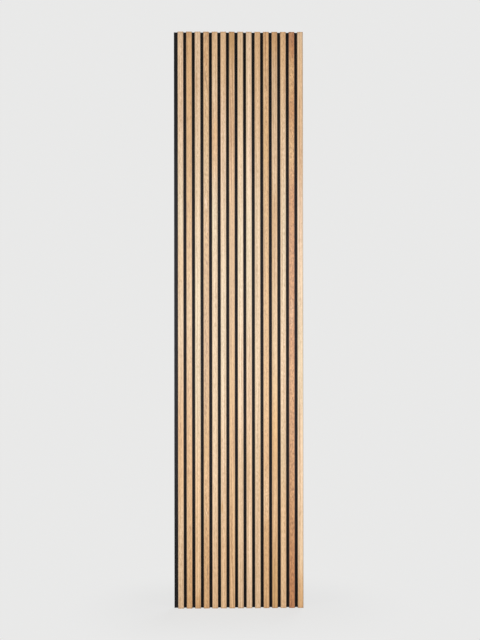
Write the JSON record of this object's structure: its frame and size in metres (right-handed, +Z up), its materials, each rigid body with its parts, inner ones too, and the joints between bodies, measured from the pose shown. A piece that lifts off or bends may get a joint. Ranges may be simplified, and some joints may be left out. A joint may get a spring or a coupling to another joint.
{
  "type": "acoustic slat wall panel",
  "caption": "Tall wall panel of oak-veneered slats stapled side by side to a thick black felt board, with open channels between them and a bare felt lip down the left edge.",
  "frame": {"origin": "middle of the felt's back face, which lies against the wall", "axes": "+Z up along the slats, +Y into the wall, +X to the right as one faces the panel; the slats face -Y"},
  "size_m": [0.605, 0.021, 2.7],
  "materials": {
    "felt": "matt needle-punched polyester felt, black",
    "fibreboard": "bare sawn fibreboard",
    "oak_veneer": "pale oak veneer, matt lacquer, grain along the slat",
    "staple_steel": "galvanised wire"
  },
  "bodies": {
    "root": {"felt_backing": "felt", "slat_core_01": "fibreboard", "slat_core_02": "fibreboard", "slat_core_03": "fibreboard", "slat_core_04": "fibreboard", "slat_core_05": "fibreboard", "slat_core_06": "fibreboard", "slat_core_07": "fibreboard", "slat_core_08": "fibreboard", "slat_core_09": "fibreboard", "slat_core_10": "fibreboard", "slat_core_11": "fibreboard", "slat_core_12": "fibreboard", "slat_core_13": "fibreboard", "slat_core_14": "fibreboard", "slat_core_15": "fibreboard", "slat_veneer_01": "oak_veneer", "slat_veneer_02": "oak_veneer", "slat_veneer_03": "oak_veneer", "slat_veneer_04": "oak_veneer", "slat_veneer_05": "oak_veneer", "slat_veneer_06": "oak_veneer", "slat_veneer_07": "oak_veneer", "slat_veneer_08": "oak_veneer", "slat_veneer_09": "oak_veneer", "slat_veneer_10": "oak_veneer", "slat_veneer_11": "oak_veneer", "slat_veneer_12": "oak_veneer", "slat_veneer_13": "oak_veneer", "slat_veneer_14": "oak_veneer", "slat_veneer_15": "oak_veneer", "staples": "staple_steel"}
  },
  "joints": []
}
